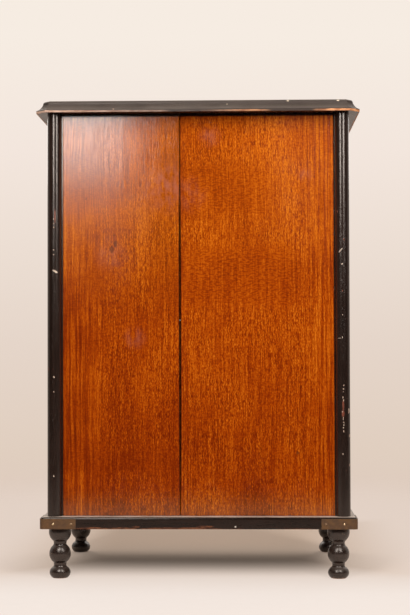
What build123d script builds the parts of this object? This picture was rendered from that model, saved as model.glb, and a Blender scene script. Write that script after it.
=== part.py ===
from build123d import *
import os
from math import sqrt

# Table cabinet of drawers, in millimetres with +Z up.
# The origin lies on the floor under the middle of the cabinet, and the drawers face -Y.

os.makedirs("parts", exist_ok=True)

# Case
case_width = 304.6  # across the outermost lines of the columns
case_depth = 214.8
case_height = 405.1  # from the base board to the underside of the top
drawer_count = 6

# Columns
column_diameter = 14.5
column_fillet = 1.1  # flat strip between the round of a column and the panel beside it
column_spigot_diameter = 7.0
column_spigot_length = 5.0

# Side panels and back boards
panel_setback = 0.4  # from the middle of a column back to the face of a panel
tongue_setback = 1.2  # from the face of a panel to its tongue
tongue_thickness = 2.6
tongue_length = 2.8
narrow_board_width = 118.3
board_joint_at_ends = 0.5
board_joint_at_middle = 1.3

# Partitions
partition_thickness = 5.0
housing_depth = 2.5

# Top board, its moulding measured from the lip upwards
top_overhang = 10.4
top_cant = 10.0
lip_height = 2.6
cove_run = 6.6
cove_rise = 6.6
cove_hollow = 1.0
ovolo_radius = 3.3

# Base board
base_overhang = 5.6
base_thickness = 11.8
base_edge_radius = 2.4
base_corner_radius = 3.2

# Brass straps round the base corners and their pins
strap_thickness = 0.8
strap_height = 10.4
strap_leg = 36.3
pin_from_corner = 13.5
pin_spacing = 18.3
pin_head_diameter = 2.6
pin_head_height = 0.9
pin_shank_diameter = 1.2
pin_shank_length = 6.0

# Feet
foot_height = 50.6
foot_inset = 17.7
bun_diameter = 21.1
bun_height = 15.2
ball_diameter = 21.8
cup_diameter = 22.6
lower_neck_diameter = 12.5
upper_neck_diameter = 12.9
neck_cove_radius = 2.6
foot_spigot_diameter = 9.0
foot_spigot_length = 6.2
bun_level_share = 0.107  # heights of the widest lines, as shares of the foot
ball_level_share = 0.480
cup_level_share = 0.909

# Drawers
drawer_side_gap = 0.5
drawer_top_gap = 0.7
drawer_run_gap = 0.2
drawer_back_gap = 2.0
front_thickness = 12.0
side_thickness = 6.0
back_thickness = 6.0
bottom_thickness = 3.5
bottom_rise = 3.2  # from the lower edge of a drawer to its bottom board
bottom_groove = 3.0
side_drop = 4.0  # from the upper edge of a front down to that of the sides
front_lap = 3.0  # of the front over the ends of the dovetails
tail_count = 3
tail_width_share = 0.6  # of the room that each dovetail has
tail_slope_share = 0.14

# Knobs
knob_spacing = 150.0
knob_head_diameter = 13.0
knob_head_thickness = 9.0
knob_projection = 15.0
knob_stem_diameter = 6.0
knob_collar_diameter = 10.6
knob_collar_thickness = 1.4
knob_cove_radius = 0.8
knob_spigot_diameter = 5.0
knob_spigot_length = 8.0

# Drawer stops
stop_spacing = 140.0
stop_width = 14.0
stop_length = 8.0
stop_height = 2.2

# Fits
edge_break = 0.5
glue_gap = 0.05
spigot_gap = 0.1
end_room = 0.3  # at the blind ends of spigots and tongues, and over panels
stop_gap = 0.2
overrun = 1.0

# Sizes that follow
column_radius = column_diameter / 2
column_x = case_width / 2 - column_radius
column_y = case_depth / 2 - column_radius
post_reach = column_diameter + column_fillet
inner_half_width = case_width / 2 - post_reach
inner_half_depth = case_depth / 2 - post_reach
panel_recess = column_radius + panel_setback
panel_thickness = post_reach - panel_recess
panel_height = case_height - end_room
face_y = case_depth / 2 - panel_recess
tongue_x = case_width / 2 - panel_recess - tongue_setback - tongue_thickness / 2
tongue_y = case_depth / 2 - panel_recess - tongue_setback - tongue_thickness / 2
base_top = foot_height + base_thickness
top_level = base_top + case_height
top_thickness = lip_height + cove_rise + ovolo_radius
lip_half_width = case_width / 2 + top_overhang
lip_half_depth = case_depth / 2 + top_overhang
base_width = case_width + 2 * base_overhang
base_depth = case_depth + 2 * base_overhang
opening_height = (case_height - (drawer_count - 1) * partition_thickness) / drawer_count
level_step = opening_height + partition_thickness
drawer_floors = [base_top + number * level_step for number in range(drawer_count)]
partition_levels = [floor + opening_height for floor in drawer_floors[:-1]]
corners = [(side, end) for side in (-1, 1) for end in (-1, 1)]
corner_names = {(-1, -1): "front_left", (1, -1): "front_right", (-1, 1): "back_left", (1, 1): "back_right"}


def write(piece, name):
    """Labels a finished piece and writes it to its own file."""
    piece.part.label = name
    export_step(piece.part, f"parts/{name}.step")


def inward(sign):
    """Alignment that lays a shape from its point towards the middle of the cabinet."""
    return Align.MAX if sign > 0 else Align.MIN


def outward(sign):
    """Alignment that lays a shape from its point away from the middle of the cabinet."""
    return Align.MIN if sign > 0 else Align.MAX


# Corner columns: a round with a square heart behind it, grooved for the panels
def build_column(side, end):
    groove_width = tongue_thickness + 2 * glue_gap
    groove_depth = tongue_length + end_room
    heart = post_reach - column_radius
    with BuildPart() as column:
        with BuildSketch(Plane.XY.offset(base_top)):
            with Locations((side * column_x, end * column_y)):
                Circle(column_radius)
                Rectangle(heart, heart, align=(inward(side), inward(end)))
            with Locations((side * tongue_x, end * inner_half_depth)):
                Rectangle(groove_width, groove_depth, align=(Align.CENTER, outward(end)), mode=Mode.SUBTRACT)
            if end > 0:
                with Locations((side * inner_half_width, end * tongue_y)):
                    Rectangle(
                        groove_depth,
                        groove_width,
                        align=(outward(side), Align.CENTER),
                        mode=Mode.SUBTRACT,
                    )
        extrude(amount=case_height)
        with BuildSketch(Plane.XY.offset(base_top - column_spigot_length)):
            with Locations((side * column_x, end * column_y)):
                Circle(column_spigot_diameter / 2)
        extrude(amount=column_spigot_length)
        with BuildSketch(Plane.XY.offset(top_level)):
            with Locations((side * column_x, end * column_y)):
                Circle(column_spigot_diameter / 2)
        extrude(amount=column_spigot_length)
    write(column, f"column_{corner_names[(side, end)]}")


for side, end in corners:
    build_column(side, end)


# Side panels: tongued into the columns, with housings for the partitions
def build_side_panel(side, name):
    with BuildPart() as panel:
        with BuildSketch(Plane.XY.offset(base_top)):
            with Locations((side * inner_half_width, 0)):
                Rectangle(panel_thickness, 2 * inner_half_depth, align=(outward(side), Align.CENTER))
        extrude(amount=panel_height)
        chamfer(panel.faces().sort_by(Axis.X)[-1 if side > 0 else 0].edges(), edge_break)
        with BuildSketch(Plane.XY.offset(base_top)):
            with Locations((side * tongue_x, 0)):
                Rectangle(tongue_thickness, 2 * (inner_half_depth + tongue_length))
        extrude(amount=panel_height)
        for level in partition_levels:
            with BuildSketch(Plane.XY.offset(level)):
                with Locations((side * inner_half_width, 0)):
                    Rectangle(2 * housing_depth, 2 * inner_half_depth)
            extrude(amount=partition_thickness, mode=Mode.SUBTRACT)
    write(panel, name)


build_side_panel(-1, "side_panel_left")
build_side_panel(1, "side_panel_right")


# Back boards: their shared joint stands open, widest halfway up
def build_back_board(side, width, name):
    joint_x = inner_half_width - width
    ends_x = joint_x + board_joint_at_ends / 2
    middle_x = joint_x + board_joint_at_middle / 2
    panel_top = base_top + panel_height
    board_plane = Plane(origin=(0, face_y, 0), x_dir=(side, 0, 0), z_dir=(0, -side, 0))
    tongue_plane = board_plane.offset(side * tongue_setback)
    with BuildPart() as board:
        with BuildSketch(board_plane):
            with BuildLine():
                Polyline(
                    (ends_x, base_top),
                    (inner_half_width, base_top),
                    (inner_half_width, panel_top),
                    (ends_x, panel_top),
                )
                ThreePointArc(
                    (ends_x, panel_top),
                    (middle_x, (base_top + panel_top) / 2),
                    (ends_x, base_top),
                )
            make_face()
        extrude(amount=side * panel_thickness)
        chamfer(board.faces().sort_by(Axis.Y)[-1].edges(), edge_break)
        with BuildSketch(tongue_plane):
            with Locations((inner_half_width - overrun, base_top)):
                Rectangle(tongue_length + overrun, panel_height, align=(Align.MIN, Align.MIN))
        extrude(amount=side * tongue_thickness)
    write(board, name)


build_back_board(1, narrow_board_width, "back_board_narrow")
build_back_board(-1, 2 * inner_half_width - narrow_board_width, "back_board_wide")


# Partitions: housed in the side panels, their front edge brought forward between the columns
def build_partition(level, number):
    with BuildPart() as partition:
        with BuildSketch(Plane.XY.offset(level)):
            Rectangle(2 * (inner_half_width + housing_depth - glue_gap), 2 * (inner_half_depth - glue_gap))
            with Locations((0, -face_y)):
                Rectangle(
                    2 * (inner_half_width - glue_gap),
                    face_y,
                    align=(Align.CENTER, Align.MIN),
                )
        extrude(amount=partition_thickness)
        chamfer(partition.faces().sort_by(Axis.Y)[0].edges().filter_by(Axis.X), edge_break)
    write(partition, f"partition_{number}")


for number, level in enumerate(reversed(partition_levels), start=1):
    build_partition(level, number)


# Top board: one moulding section run along both sides and across both diagonals, which cants the corners
lip_half_diagonal = (lip_half_width + lip_half_depth - top_cant) / sqrt(2)
with BuildPart() as top_board:
    for across, reach, keep in (
        ((1, 0), lip_half_width, Mode.ADD),
        ((0, 1), lip_half_depth, Mode.INTERSECT),
        ((1, 1), lip_half_diagonal, Mode.INTERSECT),
        ((1, -1), lip_half_diagonal, Mode.INTERSECT),
    ):
        section_plane = Plane(origin=(0, 0, top_level), x_dir=(*across, 0), z_dir=(across[1], -across[0], 0))
        with BuildSketch(section_plane):
            with BuildLine():
                Polyline((0, 0), (reach, 0), (reach, lip_height))
                cove = SagittaArc(
                    (reach, lip_height),
                    (reach - cove_run, lip_height + cove_rise),
                    cove_hollow,
                )
                ovolo = JernArc(start=cove @ 1, tangent=(0, 1), radius=ovolo_radius, arc_size=90)
                Line(ovolo @ 1, (0, top_thickness))
                mirror(about=Plane.YZ)
            make_face()
        extrude(amount=lip_half_width + lip_half_depth, both=True, mode=keep)
    with BuildSketch(Plane.XY.offset(top_level)):
        with Locations(*[(side * column_x, end * column_y) for side, end in corners]):
            Circle(column_spigot_diameter / 2 + spigot_gap)
    extrude(amount=column_spigot_length + end_room, mode=Mode.SUBTRACT)
write(top_board, "top_board")


# Pins: one turned shape set square to the straps, two in each leg
strap_half_width = base_width / 2 + strap_thickness
strap_half_depth = base_depth / 2 + strap_thickness
pin_level = foot_height + strap_height / 2
pin_dome_radius = (pin_head_diameter**2 / 4 + pin_head_height**2) / (2 * pin_head_height)
pin_places = []
for side, end in corners:
    for step in (pin_from_corner, pin_from_corner + pin_spacing):
        pin_places.append(
            Plane(
                origin=(side * strap_half_width, end * (strap_half_depth - step), pin_level),
                z_dir=(side, 0, 0),
            )
        )
        pin_places.append(
            Plane(
                origin=(side * (strap_half_width - step), end * strap_half_depth, pin_level),
                z_dir=(0, end, 0),
            )
        )

with BuildPart() as pin:
    with BuildSketch(Plane.XZ):
        with Locations((0, pin_head_height - pin_dome_radius)):
            Circle(pin_dome_radius)
        Rectangle(
            2 * pin_dome_radius + overrun,
            2 * pin_dome_radius + overrun,
            align=(Align.CENTER, Align.MAX),
            mode=Mode.SUBTRACT,
        )
        Rectangle(pin_shank_diameter, pin_shank_length, align=(Align.CENTER, Align.MAX))
        Rectangle(
            pin_head_diameter + overrun,
            2 * pin_shank_length + overrun,
            align=(Align.MAX, Align.CENTER),
            mode=Mode.SUBTRACT,
        )
    revolve(axis=Axis.Z)

with BuildPart() as strap_pins:
    with Locations(*pin_places):
        add(pin.part)
write(strap_pins, "strap_pins")


# Base board: rounded upper edge, sockets above for the columns and below for the feet
foot_places = [
    (side * (base_width / 2 - foot_inset), end * (base_depth / 2 - foot_inset)) for side, end in corners
]
with BuildPart() as base_board:
    with BuildSketch(Plane.XY.offset(foot_height)):
        RectangleRounded(base_width, base_depth, base_corner_radius)
    extrude(amount=base_thickness)
    fillet(base_board.faces().sort_by(Axis.Z)[-1].edges(), base_edge_radius)
    with BuildSketch(Plane.XY.offset(base_top)):
        with Locations(*[(side * column_x, end * column_y) for side, end in corners]):
            Circle(column_spigot_diameter / 2 + spigot_gap)
    extrude(amount=-(column_spigot_length + end_room), mode=Mode.SUBTRACT)
    with BuildSketch(Plane.XY.offset(foot_height)):
        with Locations(*foot_places):
            Circle(foot_spigot_diameter / 2 + spigot_gap)
    extrude(amount=foot_spigot_length + end_room, mode=Mode.SUBTRACT)
    with Locations(*pin_places):
        Cylinder(
            pin_shank_diameter / 2 + spigot_gap,
            pin_shank_length + end_room,
            align=(Align.CENTER, Align.CENTER, Align.MAX),
            mode=Mode.SUBTRACT,
        )
write(base_board, "base_board")


# Straps: a brass band round the base, of which only the corners are kept
with BuildPart() as corner_straps:
    with BuildSketch(Plane.XY.offset(foot_height)):
        RectangleRounded(2 * strap_half_width, 2 * strap_half_depth, base_corner_radius + strap_thickness)
        RectangleRounded(base_width, base_depth, base_corner_radius, mode=Mode.SUBTRACT)
        Rectangle(2 * (strap_half_width - strap_leg), 2 * strap_half_depth + overrun, mode=Mode.SUBTRACT)
        Rectangle(2 * strap_half_width + overrun, 2 * (strap_half_depth - strap_leg), mode=Mode.SUBTRACT)
    extrude(amount=strap_height)
    with Locations(*pin_places):
        Cylinder(
            pin_shank_diameter / 2 + spigot_gap,
            pin_shank_length,
            align=(Align.CENTER, Align.CENTER, Align.MAX),
            mode=Mode.SUBTRACT,
        )
write(corner_straps, "corner_straps")


# Feet: bun, ball and cup on one axis, with coved necks and a spigot
with BuildPart() as turned_foot:
    with BuildSketch(Plane.XZ) as foot_outline:
        with Locations((0, foot_height * bun_level_share)):
            Ellipse(bun_diameter / 2, bun_height / 2)
        with Locations((0, foot_height * ball_level_share)):
            Circle(ball_diameter / 2)
        with Locations((0, foot_height * cup_level_share)):
            Circle(cup_diameter / 2)
        with Locations((0, foot_height * bun_level_share)):
            Rectangle(
                lower_neck_diameter,
                foot_height * (ball_level_share - bun_level_share),
                align=(Align.CENTER, Align.MIN),
            )
        with Locations((0, foot_height * ball_level_share)):
            Rectangle(
                upper_neck_diameter,
                foot_height * (cup_level_share - ball_level_share),
                align=(Align.CENTER, Align.MIN),
            )
        Rectangle(
            bun_diameter + ball_diameter,
            foot_height,
            align=(Align.CENTER, Align.MAX),
            mode=Mode.SUBTRACT,
        )
        with Locations((0, foot_height)):
            Rectangle(
                bun_diameter + ball_diameter,
                foot_height,
                align=(Align.CENTER, Align.MIN),
                mode=Mode.SUBTRACT,
            )
        Rectangle(
            bun_diameter + ball_diameter,
            2 * foot_height + overrun,
            align=(Align.MAX, Align.CENTER),
            mode=Mode.SUBTRACT,
        )
        necks = [
            vertex
            for vertex in foot_outline.vertices()
            if foot_height * bun_level_share < vertex.Y < foot_height * cup_level_share and vertex.X > 0
        ]
        fillet(necks, neck_cove_radius)
    revolve(axis=Axis.Z)
    with BuildSketch(Plane.XY.offset(foot_height)):
        Circle(foot_spigot_diameter / 2)
    extrude(amount=foot_spigot_length)

for corner, place in zip(corners, foot_places):
    with BuildPart() as foot:
        with Locations((*place, 0)):
            add(turned_foot.part)
    write(foot, f"foot_{corner_names[corner]}")


# Drawer knobs: collar, stem and round head turned on one axis, the spigot going into the front
with BuildPart() as turned_knob:
    with BuildSketch(Plane.XY) as knob_outline:
        Rectangle(knob_collar_diameter, knob_collar_thickness, align=(Align.CENTER, Align.MAX))
        Rectangle(
            knob_stem_diameter,
            knob_projection - knob_head_thickness / 2,
            align=(Align.CENTER, Align.MAX),
        )
        with Locations((0, knob_head_thickness / 2 - knob_projection)):
            Ellipse(knob_head_diameter / 2, knob_head_thickness / 2)
        Rectangle(
            knob_head_diameter + overrun,
            2 * knob_projection + overrun,
            align=(Align.MAX, Align.CENTER),
            mode=Mode.SUBTRACT,
        )
        stem_ends = [
            vertex
            for vertex in knob_outline.vertices()
            if 0 < vertex.X < knob_collar_diameter / 2 and -knob_projection < vertex.Y < 0
        ]
        fillet(stem_ends, knob_cove_radius)
    revolve(axis=Axis.Y)
    with BuildSketch(Plane.XZ):
        Circle(knob_spigot_diameter / 2)
    extrude(amount=-knob_spigot_length)

# Drawers
drawer_half_width = inner_half_width - drawer_side_gap
drawer_length = face_y + (case_depth / 2 - post_reach) - drawer_back_gap
front_height = opening_height - drawer_top_gap - drawer_run_gap
side_height = front_height - side_drop
bottom_half_width = drawer_half_width - side_thickness + bottom_groove
front_inner_y = front_thickness - face_y
back_outer_y = drawer_length - face_y
back_inner_y = back_outer_y - back_thickness
tail_length = front_thickness - front_lap


def dovetails(root, tip, low, height, spare):
    """Draws a row of dovetails in the sketch that is open: each widens from the root line to the tip line."""
    room = height / tail_count
    root_half = room * tail_width_share / 2 + spare
    tip_half = root_half + abs(tip - root) * tail_slope_share
    for number in range(tail_count):
        middle = low + (number + 0.5) * room
        Polygon(
            (root, middle - root_half),
            (tip, middle - tip_half),
            (tip, middle + tip_half),
            (root, middle + root_half),
            align=None,
        )


def build_front(name, low):
    with BuildPart() as front:
        with BuildSketch(Plane.XZ.offset(face_y)):
            with Locations((0, low)):
                Rectangle(2 * drawer_half_width, front_height, align=(Align.CENTER, Align.MIN))
        extrude(amount=-front_thickness)
        chamfer(front.faces().sort_by(Axis.Y)[0].edges(), edge_break)
        for side in (-1, 1):
            with BuildSketch(Plane.YZ.offset(side * (drawer_half_width - side_thickness - glue_gap))):
                dovetails(front_inner_y, front_inner_y - tail_length - glue_gap, low, side_height, glue_gap)
            extrude(amount=side * (side_thickness + overrun), mode=Mode.SUBTRACT)
        with Locations((0, front_inner_y, low + bottom_rise)):
            Box(
                2 * (bottom_half_width + glue_gap),
                2 * (bottom_groove + glue_gap),
                bottom_thickness,
                align=(Align.CENTER, Align.CENTER, Align.MIN),
                mode=Mode.SUBTRACT,
            )
        with BuildSketch(Plane.XZ.offset(face_y)):
            with Locations((0, low + front_height / 2)):
                with GridLocations(knob_spacing, 0, 2, 1):
                    Circle(knob_spigot_diameter / 2 + spigot_gap)
        extrude(amount=-(knob_spigot_length + end_room), mode=Mode.SUBTRACT)
    write(front, f"{name}_front")


def build_side(name, low, side, side_name):
    bottom_top = bottom_rise + bottom_thickness
    with BuildPart() as board:
        with BuildSketch(Plane.YZ.offset(side * (drawer_half_width - side_thickness))):
            with Locations((front_inner_y, low)):
                Rectangle(back_inner_y - front_inner_y, side_height, align=(Align.MIN, Align.MIN))
                Rectangle(back_outer_y - front_inner_y, bottom_top, align=(Align.MIN, Align.MIN))
            dovetails(front_inner_y, front_inner_y - tail_length, low, side_height, 0)
            dovetails(back_inner_y, back_outer_y, low + bottom_top, side_height - bottom_top, 0)
        extrude(amount=side * side_thickness)
        groove_start = (side * (drawer_half_width - side_thickness), front_inner_y - bottom_groove - glue_gap)
        with Locations((*groove_start, low + bottom_rise)):
            Box(
                2 * (bottom_groove + glue_gap),
                drawer_length,
                bottom_thickness,
                align=(Align.CENTER, Align.MIN, Align.MIN),
                mode=Mode.SUBTRACT,
            )
    write(board, f"{name}_side_{side_name}")


def build_back(name, low):
    back_low = low + bottom_rise + bottom_thickness
    back_height = side_height - bottom_rise - bottom_thickness
    with BuildPart() as back:
        with BuildSketch(Plane.XZ.offset(-back_inner_y)):
            with Locations((0, back_low)):
                Rectangle(2 * drawer_half_width, back_height, align=(Align.CENTER, Align.MIN))
        extrude(amount=-back_thickness)
        for side in (-1, 1):
            with BuildSketch(Plane.YZ.offset(side * (drawer_half_width - side_thickness - glue_gap))):
                dovetails(back_inner_y, back_outer_y, back_low, back_height, glue_gap)
            extrude(amount=side * (side_thickness + overrun), mode=Mode.SUBTRACT)
    write(back, f"{name}_back")


def build_bottom(name, low):
    with BuildPart() as bottom:
        with BuildSketch(Plane.XY.offset(low + bottom_rise)):
            with Locations((0, front_inner_y - bottom_groove)):
                Rectangle(
                    2 * bottom_half_width,
                    back_outer_y - front_inner_y + bottom_groove,
                    align=(Align.CENTER, Align.MIN),
                )
        extrude(amount=bottom_thickness)
    write(bottom, f"{name}_bottom")


def build_knobs(name, low):
    with BuildPart() as knobs:
        with Locations(
            (-knob_spacing / 2, -face_y, low + front_height / 2),
            (knob_spacing / 2, -face_y, low + front_height / 2),
        ):
            add(turned_knob.part)
    write(knobs, f"{name}_knobs")


for number, floor in enumerate(reversed(drawer_floors), start=1):
    drawer_name = f"drawer_{number}"
    drawer_low = floor + drawer_run_gap
    build_front(drawer_name, drawer_low)
    build_side(drawer_name, drawer_low, -1, "left")
    build_side(drawer_name, drawer_low, 1, "right")
    build_back(drawer_name, drawer_low)
    build_bottom(drawer_name, drawer_low)
    build_knobs(drawer_name, drawer_low)

# Drawer stops: blocks glued behind the lower edge of each closed front
stop_places = [
    (side * stop_spacing / 2, front_inner_y + stop_gap, floor) for floor in drawer_floors for side in (-1, 1)
]
with BuildPart() as drawer_stops:
    with Locations(*stop_places):
        Box(stop_width, stop_length, stop_height, align=(Align.CENTER, Align.MIN, Align.MIN))
write(drawer_stops, "drawer_stops")
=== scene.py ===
# %% [markdown]
# This lesson dresses a small table cabinet of drawers. Its shapes come from the packed CAD model, which is
# loaded first and never moved. Everything after that is light, camera and finish, so that the solid model
# looks like an old ebonised cabinet with oak boards at its back.

# %% Load the frame
import math

import bpy
import numpy as np
from mathutils import Matrix, Vector


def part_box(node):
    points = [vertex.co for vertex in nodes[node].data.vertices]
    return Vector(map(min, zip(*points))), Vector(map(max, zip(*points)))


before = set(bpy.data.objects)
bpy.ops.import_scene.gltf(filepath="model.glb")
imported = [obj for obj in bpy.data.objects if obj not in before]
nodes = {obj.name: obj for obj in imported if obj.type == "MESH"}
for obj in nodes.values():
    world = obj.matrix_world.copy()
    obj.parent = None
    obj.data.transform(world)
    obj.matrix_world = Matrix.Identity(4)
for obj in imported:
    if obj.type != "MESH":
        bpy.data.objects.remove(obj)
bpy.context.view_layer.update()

scene = bpy.context.scene
scene.view_settings.view_transform = "Standard"


def in_mm(corners):
    """The lowest and the highest corner of a box in millimetres."""
    return [[1000 * float(value) for value in corner] for corner in corners]


# %% [markdown]
# The photograph looks at the back of the cabinet from about half its height, a little to one side. Its eye
# point and focal length were worked out from the corners of the base, the top and the feet. A slight roll
# levels the camera with the photograph, whose horizon is not quite flat.

# %% Camera
frame_height = 615
focal_length_in_pixels = 1503
film_width = 36.0
eye = Vector((-0.0486, 1.6133, 0.2353))
gaze = Vector((0.02757, -0.99933, 0.02408))
roll = math.radians(-0.15)

camera_data = bpy.data.cameras.new("camera")
camera_data.sensor_width = film_width
camera_data.lens = film_width * focal_length_in_pixels / frame_height
camera = bpy.data.objects.new("camera", camera_data)
turn = gaze.to_track_quat("-Z", "Y").to_matrix() @ Matrix.Rotation(roll, 3, "Z")
camera.matrix_world = Matrix.Translation(eye) @ turn.to_4x4()
scene.collection.objects.link(camera)
scene.camera = camera
print("lens:", round(camera_data.lens, 2), "mm")

# %% [markdown]
# Colours are written as the eye reads them on a screen, from 0 to 255. The renderer works with linear light,
# where twice the number is twice the light, so a helper turns one into the other.

# %% Colours
def tint(red, green, blue):
    """A screen colour from 0 to 255 as linear red, green, blue and full cover."""
    shares = np.array([red, green, blue]) / 255
    linear = np.where(shares > 0.04045, ((shares + 0.055) / 1.055) ** 2.4, shares / 12.92)
    return (*linear.tolist(), 1.0)


print("middle grey in linear light:", round(tint(128, 128, 128)[0], 3))

# %% [markdown]
# A finish in Blender is a small network of nodes. Writing each node out by hand would bury the idea, so a
# helper keeps the calls short: every call adds one node or a few, and gives back the socket that comes out.

# %% Short calls for nodes
class Recipe:
    """Adds nodes to one tree. Each call returns the output socket that the next call takes in."""

    def __init__(self, tree):
        self.tree = tree

    def fill(self, socket, value):
        """Links an output to a socket, or sets a plain value on it."""
        if isinstance(value, bpy.types.NodeSocket):
            self.tree.links.new(value, socket)
        else:
            socket.default_value = value

    def add(self, kind, inputs, **settings):
        """One node of a kind, with its settings and what goes into its sockets."""
        node = self.tree.nodes.new(kind)
        for name, value in settings.items():
            setattr(node, name, value)
        for key, value in inputs.items():
            self.fill(node.inputs[key], value)
        return node

    def use(self, group, **inputs):
        """A node group placed in this tree, its inputs given by name with _ for a space."""
        node = self.add("ShaderNodeGroup", {}, node_tree=group)
        for name, value in inputs.items():
            self.fill(node.inputs[name.replace("_", " ")], value)
        return node.outputs

    def math(self, operation, *terms):
        """One operation on numbers."""
        return self.add("ShaderNodeMath", dict(enumerate(terms)), operation=operation).outputs[0]

    def chain(self, operation, terms):
        """One operation from term to term, such as a sum of many."""
        result = terms[0]
        for term in terms[1:]:
            result = self.math(operation, result, term)
        return result

    def total(self, *terms):
        """All the terms added up."""
        return self.chain("ADD", terms)

    def product(self, *terms):
        """All the terms multiplied."""
        return self.chain("MULTIPLY", terms)

    def highest(self, *terms):
        """The largest of the terms."""
        return self.chain("MAXIMUM", terms)

    def lowest(self, *terms):
        """The smallest of the terms."""
        return self.chain("MINIMUM", terms)

    def less(self, value, taken):
        """A value with another one taken away."""
        return self.math("SUBTRACT", value, taken)

    def far(self, value, middle=0.0):
        """How far a value lies from a middle, to either side."""
        return self.math("ABSOLUTE", self.less(value, middle))

    def line(self, value, slope, start):
        """A straight line: start plus slope times the value."""
        return self.math("MULTIPLY_ADD", value, slope, start)

    def weigh(self, *shares):
        """The sum of values, each given as (value, weight)."""
        return self.total(*[self.product(value, weight) for value, weight in shares])

    def rise(self, value, low, high):
        """0 at low, 1 at high, and an even curve between them. It falls where low is the larger one."""
        inputs = {"Value": value, "From Min": low, "From Max": high, "To Min": 0.0, "To Max": 1.0}
        return self.add("ShaderNodeMapRange", inputs, interpolation_type="SMOOTHSTEP").outputs[0]

    def vector(self, operation, *places):
        """One operation on places, such as a shift or a stretch."""
        return self.add("ShaderNodeVectorMath", dict(enumerate(places)), operation=operation).outputs[0]

    def length(self, place):
        """How far a place lies from the zero point."""
        return self.add("ShaderNodeVectorMath", {0: place}, operation="LENGTH").outputs["Value"]

    def parts(self, place):
        """The three numbers of a place."""
        return self.add("ShaderNodeSeparateXYZ", {0: place}).outputs

    def join(self, x, y, z):
        """Three numbers as one place."""
        return self.add("ShaderNodeCombineXYZ", {0: x, 1: y, 2: z}).outputs[0]

    def turn(self, place, order):
        """A place with its axes in another order, such as YXZ."""
        parts = self.parts(place)
        return self.join(*[parts[axis] for axis in order])

    def noise(self, place, steps=None, detail=2.0, roughness=0.5):
        """Chance values around 0.5, one swell to a unit of the place times steps."""
        if isinstance(steps, float):
            steps = (steps, steps, steps)
        if steps is not None:
            place = self.vector("MULTIPLY", place, steps)
        inputs = {"Vector": place, "Scale": 1.0, "Detail": detail, "Roughness": roughness}
        return self.add("ShaderNodeTexNoise", inputs).outputs[0]

    def mix(self, share, first, second, blend="MIX"):
        """The second colour over the first, by share."""
        inputs = {0: share, 6: first, 7: second}
        return self.add("ShaderNodeMix", inputs, data_type="RGBA", blend_type=blend).outputs[2]

    def ramp(self, value, *stops):
        """A colour that runs through stops of (level, colour)."""
        node = self.add("ShaderNodeValToRGB", {0: value})
        elements = node.color_ramp.elements
        while len(elements) < len(stops):
            elements.new(1.0)
        for element, (level, colour) in zip(elements, stops):
            element.position = level
            element.color = colour
        return node.outputs[0]


print("short calls:", len([name for name in vars(Recipe) if not name.startswith("_")]))

# %% [markdown]
# The cabinet stands on pale paper that sweeps up behind it. A flat disc stands for the part of the paper that
# the cabinet shades, and no edge of it shows, because its rim fades out evenly.

# %% Paper floor
paper_reach = 1.30
ring_count = 40
spoke_count = 128


def disc_surface(radius, rings, spokes):
    """A flat disc: radius times u outwards and one full turn times v round, with one point at its middle."""
    u = np.linspace(0, 1, rings + 1)[1:, None]
    v = np.linspace(0, 2 * np.pi, spokes, endpoint=False)[None, :]
    rim = np.stack([radius * u * np.cos(v), radius * u * np.sin(v), 0 * u * v], axis=-1).reshape(-1, 3)
    points = np.vstack([np.zeros((1, 3)), rim])
    spoke = np.arange(spokes)
    following = np.roll(spoke, -1)
    inner = 1 + spokes * np.arange(rings - 1)[:, None]
    outer = inner + spokes
    quads = np.stack([inner + spoke, outer + spoke, outer + following, inner + following], axis=-1)
    fan = np.stack([0 * spoke, 1 + spoke, 1 + following], axis=-1)
    return points, fan.tolist() + quads.reshape(-1, 4).tolist()


points, faces = disc_surface(paper_reach, ring_count, spoke_count)
paper_mesh = bpy.data.meshes.new("paper_floor")
paper_mesh.from_pydata(points.tolist(), [], faces)
paper = bpy.data.objects.new("paper_floor", paper_mesh)
scene.collection.objects.link(paper)
print("paper faces:", len(faces))

# %% [markdown]
# Below the cabinet the paper takes a shadow, and a warmer brown is painted there for light bounced off the
# oak. Its tone is also painted lighter on the camera's side than behind the cabinet, as the lamps light it.
# Away from the cabinet the camera sees the paper's own tone at nearly full strength, which fades into the
# world's tone at the rim. Polish shows the paper weaker and ending sooner, because the room behind the
# camera was dark.

# %% Paper finish
paper_shaded_away = tint(232, 215, 203)
paper_lit_near = tint(245, 234, 226)
paper_fibre = tint(190, 172, 160)
paper_painted_bounce = tint(214, 188, 162)
shade_half_width = 0.15
shade_near = 0.01
shade_away = 0.32
mirrored_share = 0.45

paper_finish = bpy.data.materials.new("cream_paper")
paper_finish.use_nodes = True
paper_finish.node_tree.nodes.clear()
r = Recipe(paper_finish.node_tree)
place = r.add("ShaderNodeTexCoord", {}).outputs["Object"]
x, y, _ = r.parts(place)
beside = r.less(r.far(x), shade_half_width)
before = r.less(y, shade_near)
behind = r.less(r.product(y, -1.0), shade_away)
open_paper = r.rise(r.highest(beside, before, behind), -0.05, 0.10)
# Painted light: the paper is lighter on the camera's side than behind the cabinet.
tone = r.mix(r.rise(y, 0.02, 0.22), paper_shaded_away, paper_lit_near)
tone = r.mix(r.product(r.noise(place, 90.0, detail=4.0), 0.06), tone, paper_fibre)
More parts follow.
